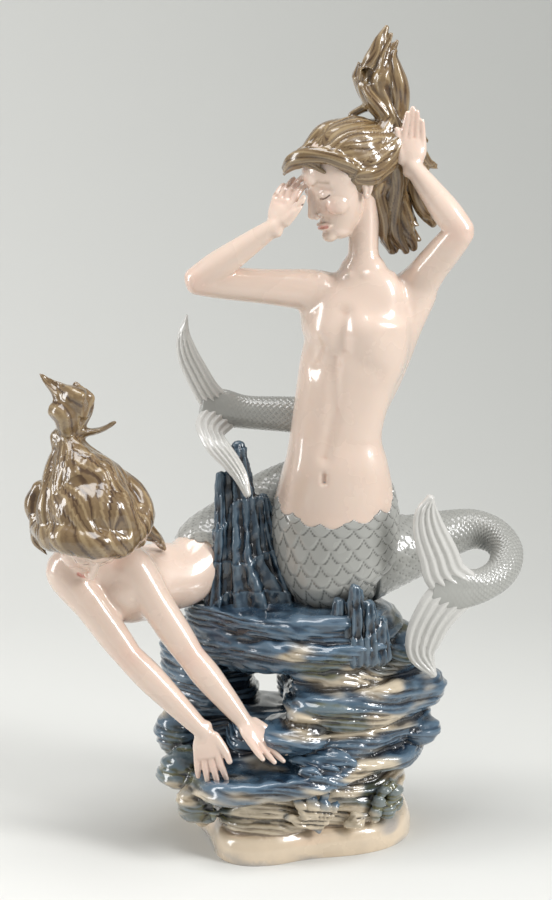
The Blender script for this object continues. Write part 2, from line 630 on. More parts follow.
def make_spires():
    clay = Clay()
    foot = SEAT_TOP - 0.83 * SEAT_THICKNESS
    for top, stations in SPIRES:
        clay.tube([((x * PART_OF_FOOT, y * PART_OF_FOOT, foot + level * (top - foot)), across * PART_OF_FOOT,
                    deep * PART_OF_FOOT) for x, y, level, across, deep in stations],
                  strands=9, strand_depth=0.26, sides=108)
    for x, y, drop in CORAL_FINGERS:
        top = CORAL_TOP - drop - CORAL_FINGER_RADIUS
        place = np.array([x * PART_OF_FOOT, y * PART_OF_FOOT, top])
        clay.tube([(place, 0.7 * CORAL_FINGER_RADIUS, 0.7 * CORAL_FINGER_RADIUS),
                   (place - UP * (2.26 * CORAL_FINGER_RADIUS), CORAL_FINGER_RADIUS, CORAL_FINGER_RADIUS),
                   (place - UP * (top - SHOULDER_TOP), 1.3 * CORAL_FINGER_RADIUS, 1.3 * CORAL_FINGER_RADIUS)],
                  strands=7, strand_depth=0.3, sides=84)
    made = clay.fuse("spires", SPIRE_GRID, 2)
    face = Surface(made)
    steps = (face.places[:, 2] + 14 * wobble(face.places, 48, 33)) / STEP_HEIGHT % 1
    face.places += face.normals * (0.9 * (steps ** 4 - 0.3) + 0.5 * wobble(face.places, 14, 31)
                                   + 0.6 * wobble(face.places * (1, 1, 0.6), 6, 32))[:, None]
    face.thin(SPIRE_TRIANGLES)
    face.hollows(14, 0.55)
    return made


finish_piece(make_spires(), glazed("spire_glaze", (0.022, 0.048, 0.078), (0.002, 0.004, 0.008),
                                   (0.12, 0.18, 0.23), 0.97, 0.5, 0.5))


# The seated mermaid's body
# Torso, arms, hands, neck and head in one skin: cast pieces luted together and smoothed, under a flesh
# glaze with a warmer tint at the elbows, fingers and cheeks. Her face is plain and calm.

HEAD_HEIGHT = 65.0
NECK_RADIUS = 9.8
HIP_HALF_WIDTH = 41.0
WAIST_HALF_WIDTH = 29.5
CHEST_HALF_WIDTH = 37.0
SHOULDER_RADIUS = 13.5
UPPER_ARM_RADIUS = 11.0
ELBOW_RADIUS = 8.8
FOREARM_RADIUS = 9.2
WRIST_RADIUS = 6.0
PALM_HALF_WIDTH = 8.6
FINGER_RADIUS = 2.3
FINGER_LENGTH = 21.0
SKIN_GRID = 0.6
SEATED_SKIN_TRIANGLES = 125000

SEATED_HIPS = np.array([19.0, 8.0, SEAT_TOP + 52])
SEATED_WAIST = SEATED_HIPS + (0, -4, 60)
SEATED_CHEST = SEATED_HIPS + (12, -6, 128)
SEATED_NECK = SEATED_HIPS + (16, -8, 164)
SEATED_HEAD = SEATED_NECK + (-12.5, -2, 54)
SEATED_RIGHT_SHOULDER = SEATED_CHEST + (-26, 2, 21)
SEATED_RIGHT_ELBOW = SEATED_RIGHT_SHOULDER + (-73, -14, 8)
SEATED_RIGHT_WRIST = SEATED_RIGHT_ELBOW + (49, -8, 35)
SEATED_LEFT_SHOULDER = SEATED_CHEST + (35, 6, 21)
SEATED_LEFT_ELBOW = SEATED_LEFT_SHOULDER + (28, -22, 39)
SEATED_LEFT_WRIST = SEATED_LEFT_ELBOW + (-30, 8, 39)
SEATED_HIP_STATIONS = [(SEATED_HIPS - UP * 12, HIP_HALF_WIDTH, 31),
                       (SEATED_HIPS + UP * 10, HIP_HALF_WIDTH * 0.99, 29),
                       (SEATED_WAIST - UP * 24, HIP_HALF_WIDTH * 0.84, 24.5)]
SEATED_FRONT = (-0.34, -0.94, 0.0)
SEATED_FACE = (-0.814, -0.470, -0.342)


def facing(front):
    """The right, front and up directions of a body that faces a given way."""
    front = unit(front)
    right = unit(np.cross(front, UP))
    return right, front, np.cross(right, front)


class Head:
    """A head's own measure: places in it are shares of its height to the right, the front and up."""

    def __init__(self, centre, front):
        self.centre = np.asarray(centre, float)
        self.axes = np.array(facing(front))

    def at(self, side, fore, rise):
        return self.centre + (np.array([side, fore, rise]) * HEAD_HEIGHT) @ self.axes

    def model(self, clay):
        """Skull, jaw, nose, lips, chin, eyes, ears and neck root, in the proportions of a drawing book."""
        high = HEAD_HEIGHT
        right = self.axes[0]
        clay.ball(self.at(0, -0.04, 0.13), np.array([0.33, 0.42, 0.37]) * high, self.axes, 72)
        clay.tube([(self.at(0, 0.10, 0.10), 0.29 * high, 0.26 * high),
                   (self.at(0, 0.12, -0.10), 0.275 * high, 0.26 * high),
                   (self.at(0, 0.15, -0.26), 0.22 * high, 0.225 * high),
                   (self.at(0, 0.22, -0.40), 0.13 * high, 0.15 * high)], right, sides=72)
        clay.ball(self.at(0, 0.315, -0.425), np.array([0.085, 0.075, 0.07]) * high, self.axes)
        clay.tube([(self.at(0, 0.350, 0.05), 0.030 * high, 0.05 * high),
                   (self.at(0, 0.375, -0.04), 0.030 * high, 0.05 * high),
                   (self.at(0, 0.405, -0.13), 0.034 * high, 0.055 * high),
                   (self.at(0, 0.435, -0.185), 0.040 * high, 0.045 * high)], right)
        for side in (-1, 1):
            nostril = np.array([0.028, 0.035, 0.026]) * high
            clay.ball(self.at(side * 0.045, 0.415, -0.200), nostril, self.axes)
            clay.ball(self.at(side * 0.17, 0.215, -0.12), np.array([0.11, 0.13, 0.12]) * high, self.axes)
            clay.ball(self.at(side * 0.135, 0.285, 0.0), np.array([0.072, 0.072, 0.066]) * high, self.axes)
            clay.tube([(self.at(side * 0.29, -0.02, -0.15), 0.035 * high, 0.03 * high),
                       (self.at(side * 0.31, -0.05, -0.08), 0.055 * high, 0.035 * high),
                       (self.at(side * 0.32, -0.065, 0.0), 0.07 * high, 0.035 * high)], self.axes[1])
        for rise, fore, thick in ((-0.300, 0.385, 0.020), (-0.335, 0.380, 0.024)):
            clay.tube([(self.at(-0.095, fore - 0.055, -0.318), 0.012 * high, 0.012 * high),
                       (self.at(-0.05, fore - 0.012, rise), thick * high, thick * high),
                       (self.at(0, fore, rise), thick * high, thick * high),
                       (self.at(0.05, fore - 0.012, rise), thick * high, thick * high),
                       (self.at(0.095, fore - 0.055, -0.318), 0.012 * high, 0.012 * high)], UP)

    def on(self, skin, *places):
        """The places on the front of the skin that lie this far to the side and up."""
        return [skin.skin_at(self.at(side, 0, rise), self.axes[1], 45) for side, rise in places]

    def carve(self, skin):
        """Sockets, lids, brows, nostrils, the line of the mouth and the folds of the ears."""
        for side in (-1, 1):
            socket = self.on(skin, (side * 0.075, 0.04), (side * 0.15, 0.06), (side * 0.21, 0.045))
            skin.work(socket, 3.2, -0.8)
            brow = self.on(skin, (side * 0.06, 0.10), (side * 0.15, 0.12), (side * 0.22, 0.09))
            skin.work(brow, 3.6, 0.5)
            skin.work(self.on(skin, (side * 0.065, -0.02), (side * 0.08, 0.0)), 2.4, -0.7)
            skin.work(self.lid_line(skin, side), 1.0, -0.5)
            skin.work(self.on(skin, (side * 0.03, -0.232)), 1.3, -0.7)
            ear = [skin.skin_at(self.at(side * 0.2, fore, rise), self.axes[0] * side, 30)
                   for fore, rise in ((-0.03, -0.12), (-0.05, -0.06), (-0.055, 0.0), (-0.07, 0.04))]
            skin.work(ear, 1.8, -1.3)
        mouth = self.on(skin, (-0.085, -0.316), (-0.045, -0.316), (0, -0.319), (0.045, -0.316),
                        (0.085, -0.316))
        skin.work(mouth, 1.0, -0.6)
        skin.work(self.on(skin, (0, -0.245), (0, -0.275)), 1.4, -0.4)
        skin.work(self.on(skin, (0, -0.375)), 4.0, -0.5)

    def lid_line(self, skin, side):
        """The edge of a lowered upper lid."""
        return self.on(skin, (side * 0.075, -0.018), (side * 0.105, -0.034), (side * 0.14, -0.036),
                       (side * 0.175, -0.026), (side * 0.2, -0.010))


def add_hand(clay, wrist, knuckle_way, thumb_way, curl, spread=0.10, thumb_out=0.6):
    """A palm, four fingers in three bones and a thumb. The curl turns the fingers to the palm's side."""
    ahead = unit(knuckle_way)
    side = unit(thumb_way - ahead * np.dot(thumb_way, ahead))
    palm_side = np.cross(ahead, side)
    palm = 1.75 * PALM_HALF_WIDTH
    clay.tube([(wrist - ahead * 4, WRIST_RADIUS, 0.8 * WRIST_RADIUS),
               (wrist, WRIST_RADIUS, 0.75 * WRIST_RADIUS),
               (wrist + ahead * (0.5 * palm), PALM_HALF_WIDTH, 0.50 * PALM_HALF_WIDTH),
               (wrist + ahead * palm, PALM_HALF_WIDTH, 0.36 * PALM_HALF_WIDTH)], side)
    for index, share in enumerate((0.90, 1.0, 0.94, 0.74)):
        offset = (0.72 - 0.48 * index) * PALM_HALF_WIDTH
        root = wrist + ahead * (0.85 * palm - abs(index - 1) * 0.8) + side * offset
        way = unit(ahead + side * (spread * (1.5 - index)) + palm_side * (0.35 * curl))
        bent = unit(way + palm_side * (0.55 * curl))
        last = unit(bent + palm_side * (0.5 * curl))
        first = root + way * (0.50 * share * FINGER_LENGTH)
        second = first + bent * (0.34 * share * FINGER_LENGTH)
        tip = second + last * (0.24 * share * FINGER_LENGTH)
        clay.tube([(root, FINGER_RADIUS * 1.12, FINGER_RADIUS * 1.12), (first, FINGER_RADIUS, FINGER_RADIUS),
                   (second, 0.88 * FINGER_RADIUS, 0.86 * FINGER_RADIUS),
                   (tip, 0.70 * FINGER_RADIUS, 0.62 * FINGER_RADIUS)], side, sides=24, steps=6)
    root = wrist + ahead * (0.22 * palm) + side * (0.66 * PALM_HALF_WIDTH)
    bend = root + unit(ahead + side * thumb_out) * (0.5 * FINGER_LENGTH)
    tip = bend + unit(ahead + side * (0.5 * thumb_out)) * (0.42 * FINGER_LENGTH)
    clay.tube([(root, 1.7 * FINGER_RADIUS, 1.6 * FINGER_RADIUS),
               (bend, 1.2 * FINGER_RADIUS, 1.15 * FINGER_RADIUS),
               (tip, 0.85 * FINGER_RADIUS, 0.75 * FINGER_RADIUS)], side, sides=24, steps=6)


def add_arm(clay, shoulder, elbow, wrist, inward):
    """A rounded shoulder, upper arm, elbow and forearm."""
    upper = elbow - shoulder
    lower = wrist - elbow
    clay.tube([(shoulder + inward, SHOULDER_RADIUS * 1.05, SHOULDER_RADIUS * 0.95),
               (shoulder, SHOULDER_RADIUS, SHOULDER_RADIUS),
               (shoulder + upper * 0.4, UPPER_ARM_RADIUS, UPPER_ARM_RADIUS),
               (shoulder + upper * 0.75, UPPER_ARM_RADIUS * 0.92, UPPER_ARM_RADIUS * 0.92),
               (elbow, ELBOW_RADIUS, ELBOW_RADIUS)], (0, 1, 0))
    clay.tube([(elbow, ELBOW_RADIUS, ELBOW_RADIUS), (elbow + lower * 0.3, FOREARM_RADIUS, FOREARM_RADIUS),
               (elbow + lower * 0.65, FOREARM_RADIUS * 0.82, FOREARM_RADIUS * 0.82),
               (wrist, WRIST_RADIUS, WRIST_RADIUS * 0.9)], (0, 1, 0))


def add_neck(clay, neck, head, lean):
    """A neck from the top of the chest into the skull."""
    nape = head.at(0, -0.12, -0.30)
    clay.tube([(neck + lean * -8, NECK_RADIUS * 1.5, NECK_RADIUS * 1.3),
               (neck + lean * 6, NECK_RADIUS, NECK_RADIUS), (nape, NECK_RADIUS, NECK_RADIUS),
               (nape + head.axes[2] * 12, NECK_RADIUS, NECK_RADIUS)])


def tint_skin(skin, head, joints):
    """Where the lips, lashes and brows are painted, and the cheeks and joints are warmed. A joint is a
    place, how far its tint reaches and how strong it is."""
    mouth = head.on(skin, (-0.075, -0.316), (-0.04, -0.312), (0, -0.316), (0.04, -0.312), (0.075, -0.316))
    tints = {"lips": skin.near(mouth, 2.4)}
    for name in ("lashes", "brows", "blush"):
        tints[name] = np.zeros(len(skin.places))

    def add(name, values):
        tints[name] = np.maximum(tints[name], values)

    for side in (-1, 1):
        add("lashes", skin.near(head.lid_line(skin, side), 0.9))
        brow = head.on(skin, (side * 0.07, 0.105), (side * 0.14, 0.135), (side * 0.22, 0.105))
        add("brows", skin.near(brow, 1.2))
        add("blush", 0.8 * skin.near(head.on(skin, (side * 0.19, -0.15)), 9))
    for place, reach, strength in joints:
        add("blush", strength * skin.near([place], reach))
    for name, values in tints.items():
        skin.keep(name, values)


def skin_colours(tree, sockets):
    """Flesh with warmer tints where they were brushed on, painted lips, brows and lashes."""
    ground = (*sockets["Ground"], 1.0)
    for name, colour, strength in (("blush", (0.74, 0.40, 0.31), 0.55), ("lips", (0.62, 0.22, 0.17), 0.85),
                                   ("brows", (0.30, 0.17, 0.09), 0.7), ("lashes", (0.10, 0.06, 0.04), 0.95)):
        mask = node(tree, "ShaderNodeAttribute", attribute_name=name).outputs["Fac"]
        if name in ("lips", "lashes"):
            mask = ramp(tree, mask, 0.25, 0.75)
        ground = blend_colour(tree, calc(tree, "MULTIPLY", mask, strength), ground, colour)
    return {"Ground": ground}


SKIN_GLAZE = glazed("flesh_glaze", (0.76, 0.60, 0.50), (0.62, 0.36, 0.26), (0.86, 0.73, 0.64), 0.6, 0.2, 0.06,
                    skin_colours, 0.12)
SEATED_HEAD_MEASURE = Head(SEATED_HEAD, SEATED_FACE)


def make_seated_body():
    clay = Clay()
    right, front, _ = facing(SEATED_FRONT)
    middle = (SEATED_WAIST + SEATED_CHEST) / 2
    clay.tube([*SEATED_HIP_STATIONS, (SEATED_WAIST, WAIST_HALF_WIDTH, 21),
               (middle, WAIST_HALF_WIDTH * 1.06, 22.5),
               (SEATED_CHEST - UP * 12, CHEST_HALF_WIDTH * 0.92, 25.5),
               (SEATED_CHEST + UP * 8, CHEST_HALF_WIDTH * 0.96, 25),
               (SEATED_NECK - UP * 12, CHEST_HALF_WIDTH * 0.72, 17),
               (SEATED_NECK, 0.40 * CHEST_HALF_WIDTH, 12)], right, sides=96, steps=14)
    add_neck(clay, SEATED_NECK, SEATED_HEAD_MEASURE, UP)
    SEATED_HEAD_MEASURE.model(clay)
    add_arm(clay, SEATED_RIGHT_SHOULDER, SEATED_RIGHT_ELBOW, SEATED_RIGHT_WRIST, (14, 0, -4))
    add_arm(clay, SEATED_LEFT_SHOULDER, SEATED_LEFT_ELBOW, SEATED_LEFT_WRIST, (-16, -2, -8))
    clay.tube([(SEATED_LEFT_SHOULDER + (-22, 0, -76), 7, 14), (SEATED_LEFT_SHOULDER + (-13, 0, -52), 9, 16),
               (SEATED_LEFT_SHOULDER + (-5, 0, -26), 11, 14), (SEATED_LEFT_SHOULDER + (2, 0, -2), 14, 14)])
    clay.tube([(SEATED_RIGHT_SHOULDER + (6, 0, -26), 11, 12), (SEATED_RIGHT_SHOULDER, 13, 13)])
    add_hand(clay, SEATED_RIGHT_WRIST, (0.30, 0.25, 0.92), np.array([0.8, -0.5, 0.1]), 0.45, 0.06)
    add_hand(clay, SEATED_LEFT_WRIST, (0.03, 0.10, 1.0), np.array([-0.95, -0.1, 0.0]), 0.22, -0.06, 0.3)
    made = clay.fuse("seated_body", SKIN_GRID, 8)
    skin = Surface(made)

    left = SEATED_LEFT_SHOULDER
    for joint, width, passes in (([SEATED_RIGHT_SHOULDER, SEATED_RIGHT_SHOULDER + (14, 0, -4)], 22, 160),
                                 ([SEATED_RIGHT_SHOULDER + (2, 0, -20)], 16, 160),
                                 ([left, left + (-16, -2, -8)], 22, 160),
                                 ([left + (-4, -6, -18), left + (-24, -10, -18)], 26, 260),
                                 ([left + (-8, 0, -30), left + (-24, 0, -80)], 20, 200),
                                 ([SEATED_RIGHT_WRIST], 9, 50), ([SEATED_LEFT_WRIST], 9, 50),
                                 ([SEATED_RIGHT_ELBOW], 12, 50), ([SEATED_LEFT_ELBOW], 12, 50),
                                 ([SEATED_NECK - UP * 6, SEATED_NECK + UP * 4], 17, 120)):
        skin.ease(joint, width, passes)
    skin.settle()

    def on(place, side=0.0, way=front):
        """The place on her skin before a place in her body, this far to her right."""
        return skin.skin_at(place + right * side, way)

    sternum = [on(SEATED_CHEST + UP * rise) for rise in (10, 0, -12)]
    midline = [on(middle + UP * rise) for rise in (16, 0, -16)] + [on(SEATED_WAIST - UP * 12)]
    skin.work(sternum, 8, -2.4)
    skin.work(midline, 7, -1.8)
    skin.work([on(SEATED_WAIST - UP * 24), on(SEATED_WAIST - UP * 28)], 3.0, -2.4)
    for side in (-1, 1):
        skin.work([on(SEATED_CHEST - UP * 2, side * 15)], 15, 2.6)
        skin.work([on(SEATED_CHEST - UP * 20, side * 8), on(SEATED_CHEST - UP * 26, side * 20)], 8, -0.8)
        skin.work([on(SEATED_NECK - UP * 3, side * 5), on(SEATED_NECK - UP * 4, side * 24)], 3.5, 1.0)
        skin.work([on(SEATED_CHEST, side * 16, -front)], 13, 1.4)
    backbone = (SEATED_CHEST + UP * 12, middle, SEATED_WAIST - UP * 20)
    skin.work([on(place, 0, -front) for place in backbone], 6, -1.8)
    skin.settle()
    SEATED_HEAD_MEASURE.carve(skin)
    skin.thin(SEATED_SKIN_TRIANGLES)
    tint_skin(skin, SEATED_HEAD_MEASURE, [
        (SEATED_RIGHT_ELBOW, 14, 0.9), (SEATED_LEFT_ELBOW, 14, 0.8),
        (SEATED_RIGHT_WRIST + (6, 4, 24), 18, 0.5), (SEATED_LEFT_WRIST + (0, 2, 26), 18, 0.4)])
    skin.hollows(14, 0.6)
    return made


finish_piece(make_seated_body(), SKIN_GLAZE)


# The seated mermaid's hair
# Locks of clay combed back by hand from the brow to a gather behind the crown, with a plume above it, a
# mass behind the neck and a few free curls, all under a golden brown glaze.

HAIR_GRID = 0.6
SEATED_HAIR_TRIANGLES = 95000
CAP_CORE = (5, 3, 18)

# A lock is a row of stations from its root to its tip. Each one is a place from the middle of the head and
# a half width, in hundredths of the head's height.
SEATED_LOCKS = [[(-55, -9, 11, 5.4), (-47, -22, 22, 7.7), (-32, -32, 26, 8.5), (-16, -38, 23, 7.7),
                 (-1, -37, 17, 7.7), (15, -28, 11, 6.9), (33, -9, 11, 6.2)],
                [(-52, -6, 18, 5.4), (-35, -9, 29, 6.2), (-7, -3, 38, 7.7), (18, 6, 43, 9.2),
                 (42, 12, 54, 9.2)],
                [(-19, -34, 28, 6.2), (5, -28, 35, 9.2), (30, -9, 38, 10.8), (48, 9, 51, 10.8)],
                [(5, -31, 20, 6.2), (27, -22, 20, 9.2), (45, 0, 29, 10.8), (52, 12, 51, 10.8)],
                [(48, 9, 35, 11), (42, 12, 54, 11), (30, 12, 71, 12.5), (22, 12, 88, 14),
                 (25, 12, 106, 12.5), (33, 12, 123, 8), (40, 12, 142, 2.2)],
                [(45, 9, 35, 11), (52, 12, 60, 11), (52, 12, 82, 12.5), (47, 12, 103, 11),
                 (45, 12, 117, 7), (50, 12, 129, 2.2)],
                [(30, 15, 72, 6.2), (18, 15, 66, 4.6), (7, 15, 60, 4)],
                [(30, 3, 26, 10), (32, 11, 2, 10), (33, 17, -26, 11.5), (38, 22, -51, 11.5),
                 (48, 23, -71, 7)],
                [(45, 12, 26, 13), (50, 18, 2, 13), (52, 22, -26, 13), (59, 23, -51, 11),
                 (67, 22, -68, 4)],
                [(55, 15, 35, 12), (64, 22, 11, 12), (70, 25, -14, 10), (78, 28, -34, 8),
                 (87, 28, -46, 2.6)],
                [(58, 15, 42, 10), (73, 25, 26, 8.5), (81, 29, 14, 7), (90, 31, 11, 2.6)],
                [(58, 15, 51, 9), (70, 25, 42, 7), (79, 31, 35, 2.6)]]
CAP_GUIDES = [[(12, -33, 6, 5), (26, -28, 9, 6), (41, -13, 15, 6), (51, 4, 30, 7), (50, 12, 52, 7)],
              [(-3, -36, 17, 5), (14, -34, 22, 6), (33, -22, 30, 6), (46, 0, 38, 7), (49, 12, 54, 7)],
              [(-19, -36, 26, 5), (0, -31, 36, 6), (23, -17, 44, 6), (40, 2, 48, 7), (48, 12, 56, 7)],
              [(-34, -28, 30, 5), (-16, -18, 45, 6), (8, -4, 51, 6), (30, 8, 54, 7), (46, 14, 58, 7)],
              [(-40, -14, 28, 5), (-24, 3, 45, 6), (0, 15, 51, 6), (26, 20, 52, 7), (44, 18, 56, 7)],
              [(-36, 6, 16, 5), (-20, 25, 29, 6), (4, 37, 34, 6), (28, 34, 42, 7), (46, 22, 52, 7)],
              [(-26, 20, 0, 5), (-10, 37, 8, 6), (13, 44, 13, 6), (34, 38, 24, 7), (50, 26, 40, 7)]]
NAPE_GUIDES = [[(30, -6, 26, 8), (31, 2, 2, 8), (32, 8, -26, 9), (36, 14, -50, 8), (45, 17, -68, 4)],
               [(42, 4, 28, 9), (44, 8, 2, 9), (46, 12, -26, 10), (52, 16, -52, 9), (60, 18, -70, 4)],
               [(50, 12, 30, 9), (54, 18, 4, 9), (58, 22, -22, 9), (64, 24, -46, 8), (74, 24, -60, 4)],
               [(55, 15, 36, 9), (64, 22, 12, 9), (70, 25, -12, 8), (78, 28, -32, 7), (88, 28, -44, 2.5)],
               [(57, 15, 44, 9), (70, 24, 28, 8), (79, 28, 14, 7), (85, 30, 10, 5), (91, 31, 8, 2.2)],
               [(52, 26, 32, 10), (52, 38, 10, 10), (52, 42, -16, 11), (56, 42, -40, 9), (62, 40, -60, 4)],
               [(34, 38, 24, 10), (32, 46, 2, 11), (34, 48, -24, 12), (40, 46, -48, 10), (50, 42, -66, 4)]]
PLUME_GUIDES = [[(46, 6, 34, 8), (40, 8, 54, 8), (28, 9, 72, 8), (20, 10, 90, 8), (24, 11, 108, 7),
                 (31, 12, 122, 4), (36, 12, 132, 2)],
                [(48, 6, 36, 8), (44, 6, 56, 8), (35, 6, 74, 9), (29, 7, 92, 9), (32, 9, 111, 8),
                 (37, 11, 128, 5), (41, 12, 142, 2)],
                [(50, 8, 38, 8), (48, 8, 58, 8), (43, 7, 77, 9), (39, 8, 94, 9), (39, 10, 108, 7),
                 (41, 12, 117, 4), (43, 12, 123, 2)],
                [(52, 11, 38, 8), (53, 12, 59, 8), (51, 12, 80, 8), (48, 12, 98, 7), (47, 12, 111, 6),
                 (49, 12, 121, 4), (52, 12, 130, 2)],
                [(50, 16, 38, 8), (48, 18, 58, 9), (43, 20, 77, 10), (38, 20, 94, 10), (38, 19, 108, 8),
                 (41, 17, 119, 5), (45, 15, 127, 2)],
                [(48, 18, 38, 8), (41, 19, 56, 8), (32, 19, 74, 9), (26, 19, 91, 9), (29, 18, 108, 7),
                 (34, 16, 121, 4), (38, 14, 131, 2)]]
PLUME_CORE = [(45, 12, 42, 11), (43, 12, 60, 12), (36, 12, 80, 14), (33, 12, 98, 13), (37, 12, 115, 8),
              (41, 12, 126, 3)]
FREE_CURLS = [[(-55, -9, 11, 4.5), (-48, -22, 21, 6), (-34, -32, 27, 6.5), (-18, -37, 25, 6),
               (-2, -37, 18, 6), (14, -30, 10, 5)],
              [(-57, -4, 6, 3), (-52, -14, 14, 5), (-42, -26, 18, 5), (-28, -33, 15, 4),
               (-18, -35, 10, 2.5)],
              [(-53, -6, 17, 4.5), (-36, -10, 31, 5.5), (-8, -6, 42, 6), (17, 6, 47, 6.5),
               (42, 12, 55, 7)],
              [(30, 15, 72, 5), (18, 15, 66, 3.6), (8, 15, 60, 3.2), (5, 14, 55, 2.6)],
              [(64, 20, 46, 6), (74, 25, 38, 5), (80, 30, 34, 2.4)],
              [(70, 20, 18, 6), (80, 22, 4, 5.5), (86, 22, -12, 4.5), (90, 24, -24, 2.2)]]


def comb(clay, head, guides, core, count=None, seed=0, jitter=0.0, flat=0.62, swell=1.0, sway=0.3):
    """Locks combed through a fan of guide locks, each one flat to the core that it lies round. Without a
    count there is one lock for each guide, and without clay the locks only lead the comb."""
    random = np.random.default_rng(seed)
    guides = [np.asarray(guide, float) for guide in guides]
    locks = []
    shares = np.linspace(0, len(guides) - 1, count) if count else range(len(guides))
    for share in shares:
        low = int(share)
        lock = guides[low].copy()
        if share > low:
            lock += (guides[low + 1] - lock) * (share - low)
        lock[1:, :3] += random.normal(size=(len(lock) - 1, 3)) * jitter
        lock = smooth(lock, 8) * (HEAD_HEIGHT / 100)
        run = np.concatenate([[0], np.cumsum(np.linalg.norm(np.diff(lock[:, :3], axis=0), axis=1))])
        ahead = unit(np.gradient(lock[:, :3], axis=0))
        across = unit(np.cross(ahead, lock[:, :3] - core) + 1e-6)
        across[np.sum(across * across[:1], axis=1) < 0] *= -1
        lock[:, 3] *= swell
        aside = sway * lock[:, 3] * np.sin(run / 9 + 2.4 * len(locks) + seed)
        middle = head + lock[:, :3] + across * aside[:, None]
        rows = np.column_stack([middle, lock[:, 3], lock[:, 3] * flat, across])
        if clay:
            clay.stack(rings_of(rows, 56))
        locks.append((rows, run))
    return locks


def comb_strokes(hair, locks):
    """The strokes of a comb from -1 to 1, which run along the nearest lock and wander as they go."""
    nearest = np.full(len(hair.places), 1e9)
    strokes = np.zeros(len(hair.places))
    for index, (rows, run) in enumerate(locks):
        ahead = unit(np.gradient(rows[:, :3], axis=0))
        off = (hair.places[:, None] - rows[:, :3]).astype(np.float32)
        far = np.sqrt(np.einsum("ijk,ijk->ij", off, off)) / np.maximum(rows[:, 3], 1.5)
        which = far.argmin(axis=1)
        every = np.arange(len(which))
        off, far = off[every, which], far[every, which]
        wide = rows[which, 5:8]
        turn = np.arctan2(np.sum(off * np.cross(ahead[which], wide), axis=1), np.sum(off * wide, axis=1))
        along = run[which] + np.sum(off * ahead[which], axis=1)
        broad = np.sin(5 * turn + 2.4 * index + 1.7 * np.sin(along / 8 + index))
        fine = np.sin(13 * turn + 1.7 * index + 2.2 * np.sin(along / 7 + 2 * index))
        closer = far < nearest
        strokes[closer] = (0.6 * broad + 0.4 * fine)[closer]
        nearest = np.minimum(nearest, far)
    return strokes


def dress_hair(made, locks, triangles, mass, reach):
    """Press the comb's strokes into the hair, and keep them for the paint that lies in them."""
    hair = Surface(made)
    hair.ease(mass, reach, 50)
    hair.settle()
    swell = wobble(hair.places, 22, 81) * 0.9
    hair.places += hair.normals * (0.30 * comb_strokes(hair, locks) + swell)[:, None]
    hair.write()
    soften = made.modifiers.new("soften", "SMOOTH")
    soften.factor = 0.5
    soften.iterations = 3
    bake_modifiers(made)
    hair.read()
    hair.thin(triangles)
    hair.keep("streak", 0.5 + 0.5 * comb_strokes(hair, locks))
    hair.hollows(10, 0.8)


def hair_colours(tree, sockets):
    """Golden brown, with darker and paler strokes of the brush along each lock."""
    streak = node(tree, "ShaderNodeAttribute", attribute_name="streak").outputs["Fac"]
    place = node(tree, "ShaderNodeTexCoord").outputs["Object"]
    patches = node(tree, "ShaderNodeTexNoise", {"Vector": place, "Scale": 55.0, "Detail": 2.0}).outputs[0]
    stroke = calc(tree, "ADD", calc(tree, "MULTIPLY", streak, 0.8), calc(tree, "MULTIPLY", patches, 0.4))
    ground = blend_colour(tree, ramp(tree, stroke, 0.5, 0.28), (0.190, 0.121, 0.055), (0.075, 0.038, 0.014))
    return {"Ground": blend_colour(tree, ramp(tree, stroke, 0.66, 0.92), ground, (0.32, 0.228, 0.118))}


HAIR_GLAZE = glazed("hair_glaze", (1, 1, 1), (0.055, 0.027, 0.010), (0.38, 0.28, 0.16), 0.9, 0.35, 0.2,
                    hair_colours)


def make_seated_hair():
    clay = Clay()
    clay.ball(SEATED_HEAD_MEASURE.at(0, -0.115, 0.165), np.array([0.38, 0.44, 0.385]) * HEAD_HEIGHT,
              SEATED_HEAD_MEASURE.axes, 60)
    clay.ball(SEATED_HEAD + (17, 10, 4), (15, 16, 20))
    comb(clay, SEATED_HEAD, [PLUME_CORE], CAP_CORE, flat=0.7)
    locks = comb(clay, SEATED_HEAD, SEATED_LOCKS, CAP_CORE, flat=0.72)
    locks += comb(clay, SEATED_HEAD, CAP_GUIDES[::2], CAP_CORE, swell=1.5, flat=0.5, sway=0.5)
    locks += comb(None, SEATED_HEAD, CAP_GUIDES[1::2], CAP_CORE, sway=0.5)
    locks += comb(clay, SEATED_HEAD, NAPE_GUIDES, (30, 16, -4), sway=0.5)
    locks += comb(clay, SEATED_HEAD, PLUME_GUIDES, (40, 12, 90), 5, 43, 1.0, sway=0.5)
    locks += comb(clay, SEATED_HEAD, FREE_CURLS, CAP_CORE, flat=0.7)
    made = clay.fuse("seated_hair", HAIR_GRID, 9)
    mass = [SEATED_HEAD + (0, -2, 20), SEATED_HEAD + (14, 2, 22)]
    dress_hair(made, locks, SEATED_HAIR_TRIANGLES, mass, 30)
    return made


finish_piece(make_seated_hair(), HAIR_GLAZE)


# The tails
# Each tail is a tapered roll of clay on which rows of scales are pressed, overlapping towards the fluke.
# The seated tail loops out at the right, and the leaning one loops behind the seated waist.

SEATED_TAIL_RADIUS = 30.0
LEANING_TAIL_RADIUS = 21.0
TAIL_END_RADIUS = 9.8
BLUNTNESS = 0.9
SCALE_COLUMNS = 18
HIP_SCALE_CORNERS = 11
TAIL_SCALE_CORNERS = 5
LEANING_HIPS = np.array([-58.0, 30.0, SEAT_TOP + 35])
SEATED_TAIL_ROUTE = [(19, 6, -23), (47, 14, -20), (71, 26, -15), (90, 29, -12), (104, 22, -15), (110, 7, -22),
                     (105, -10, -30), (93, -22, -35), (81, -29, -36), (72, -33, -35)]
LEANING_TAIL_ROUTE = [(-6, -6, -4), (12, 4, 9), (34, 9, 25), (60, 12, 38), (82, 12, 52), (86, 10, 68),
                      (70, 8, 79), (46, 8, 81), (20, 10, 82), (4, 8, 85)]

